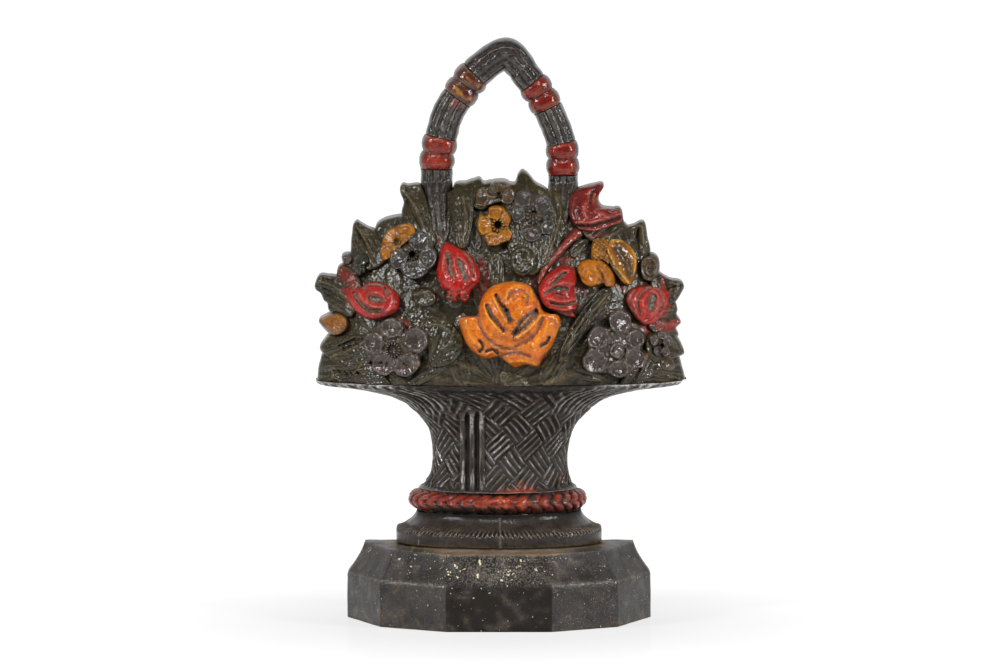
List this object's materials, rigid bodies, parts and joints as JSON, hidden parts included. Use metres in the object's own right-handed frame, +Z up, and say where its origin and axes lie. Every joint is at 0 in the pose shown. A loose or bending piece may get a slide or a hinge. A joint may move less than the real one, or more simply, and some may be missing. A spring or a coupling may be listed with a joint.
{
  "type": "figural doorstop",
  "caption": "Flat-backed, hollow cast-iron doorstop: a painted basket of flowers with a looped handle on a half-round moulded foot and a faceted plinth.",
  "frame": {"origin": "on the floor, at the middle of the footprint's bounding box", "axes": "+Z up, +X to the right as seen from the front, -Y out of the painted front; the flat open back faces +Y"},
  "size_m": [0.1414, 0.0616, 0.2215],
  "materials": {
    "black_brown_iron": "worn black-brown paint under a glossy varnish",
    "dull_red_paint": "worn dull red paint under a glossy varnish",
    "bright_red_paint": "worn bright red paint under a glossy varnish",
    "orange_paint": "worn orange paint under a glossy varnish",
    "ochre_paint": "worn yellow-orange paint under a glossy varnish",
    "grey_mauve_paint": "worn grey-mauve paint under a glossy varnish",
    "olive_green_paint": "worn dark olive paint under a glossy varnish"
  },
  "bodies": {
    "root": {"basket_body": "black_brown_iron", "brown_flower_top": "grey_mauve_paint", "curl_bud": "grey_mauve_paint", "dark_leaf": "olive_green_paint", "flower_bed": "olive_green_paint", "folded_leaf": "olive_green_paint", "foot_moulding": "black_brown_iron", "green_bud": "olive_green_paint", "grey_bud": "grey_mauve_paint", "grey_flower_left": "grey_mauve_paint", "grey_flower_right": "grey_mauve_paint", "grey_flower_top": "grey_mauve_paint", "leaf_behind_tulip": "olive_green_paint", "leaf_beside_grey": "olive_green_paint", "leaf_corner_left": "olive_green_paint", "leaf_corner_right": "olive_green_paint", "leaf_far_left": "olive_green_paint", "leaf_far_right": "olive_green_paint", "leaf_inner_right": "olive_green_paint", "leaf_left_tip": "olive_green_paint", "leaf_low_left": "olive_green_paint", "leaf_low_right": "olive_green_paint", "leaf_right_middle": "olive_green_paint", "leaf_right_tip": "olive_green_paint", "leaf_round": "olive_green_paint", "leaf_stem_side": "olive_green_paint", "leaf_tall": "olive_green_paint", "leaf_top": "olive_green_paint", "leaf_top_middle": "olive_green_paint", "leaf_under_trumpet": "olive_green_paint", "left_cane_middle": "black_brown_iron", "left_cane_stem": "black_brown_iron", "left_cane_top": "black_brown_iron", "left_lower_binding": "bright_red_paint", "left_upper_binding": "bright_red_paint", "low_bud": "grey_mauve_paint", "ochre_bud": "ochre_paint", "orange_rose": "orange_paint", "oval_leaf_left": "olive_green_paint", "oval_leaf_middle": "olive_green_paint", "pansy": "grey_mauve_paint", "plinth": "black_brown_iron", "red_rosebud_left": "bright_red_paint", "red_rosebud_middle": "bright_red_paint", "red_rosebud_right": "bright_red_paint", "right_cane_middle": "black_brown_iron", "right_cane_stem": "black_brown_iron", "right_cane_top": "black_brown_iron", "right_lower_binding": "bright_red_paint", "right_upper_binding": "bright_red_paint", "rope_moulding": "dull_red_paint", "small_grey_flower": "grey_mauve_paint", "trumpet_dish": "ochre_paint", "trumpet_globe": "orange_paint", "trumpet_neck": "ochre_paint", "tulip": "dull_red_paint", "tulip_bud": "bright_red_paint", "tulip_stem": "dull_red_paint", "yellow_flower_left": "ochre_paint", "yellow_flower_top": "ochre_paint"}
  },
  "joints": []
}
